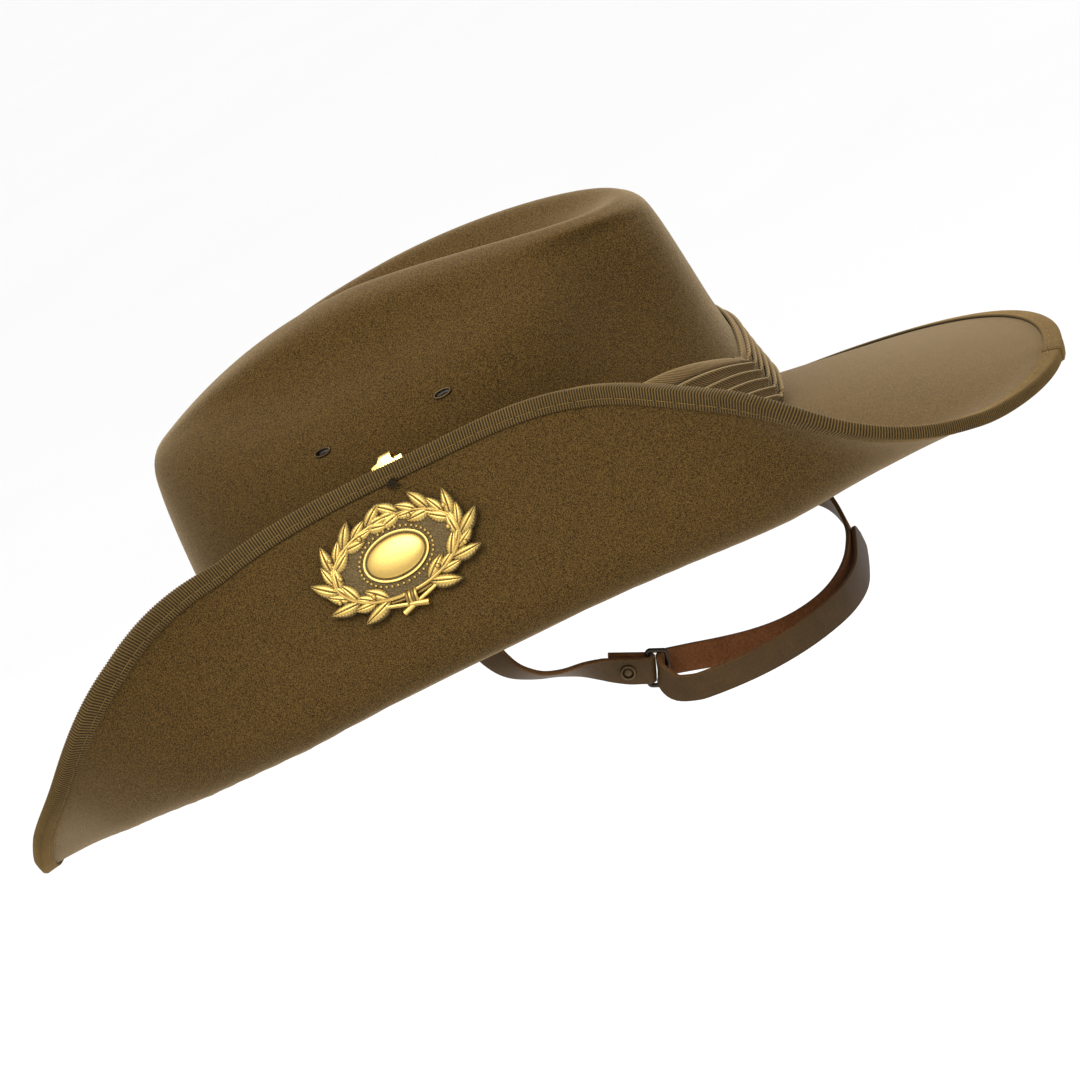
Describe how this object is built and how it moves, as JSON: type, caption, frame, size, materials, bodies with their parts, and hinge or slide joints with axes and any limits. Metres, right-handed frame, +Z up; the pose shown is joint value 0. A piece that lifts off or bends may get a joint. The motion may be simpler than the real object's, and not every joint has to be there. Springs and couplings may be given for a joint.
{
  "type": "slouch hat",
  "caption": "Wide-brimmed felt hat with a creased crown, one side of the brim turned up and hooked, a pleated band, a wreath badge and a leather chin strap.",
  "frame": {"origin": "middle of the head opening, in the plane where crown and brim meet", "axes": "+Z up through the crown, -Y towards the front of the hat, +X towards the side whose brim is turned up"},
  "size_m": [0.2872, 0.3746, 0.1606],
  "materials": {
    "felt": "matt fur felt, khaki brown with a short nap",
    "ribbon": "ribbed grosgrain, dark khaki brown",
    "cotton": "twill cotton strips, khaki",
    "badge_metal": "cast, bright relief on a darkened ground",
    "hook_metal": "worn flat brass",
    "eyelet_metal": "darkened bronze",
    "black_metal": "black lacquered wire",
    "leather": "olive brown grain side, red brown flesh side"
  },
  "bodies": {
    "root": {"felt_body": "felt", "vent_eyelet_turned_front": "eyelet_metal", "vent_eyelet_turned_back": "eyelet_metal", "vent_eyelet_plain_front": "eyelet_metal", "vent_eyelet_plain_back": "eyelet_metal", "brim_binding": "ribbon", "puggaree_band": "cotton", "brim_hook": "hook_metal", "crown_catch": "hook_metal", "badge": "badge_metal", "strap_short": "leather", "strap_stud": "eyelet_metal", "strap_buckle": "black_metal", "strap_long": "leather"}
  },
  "joints": []
}
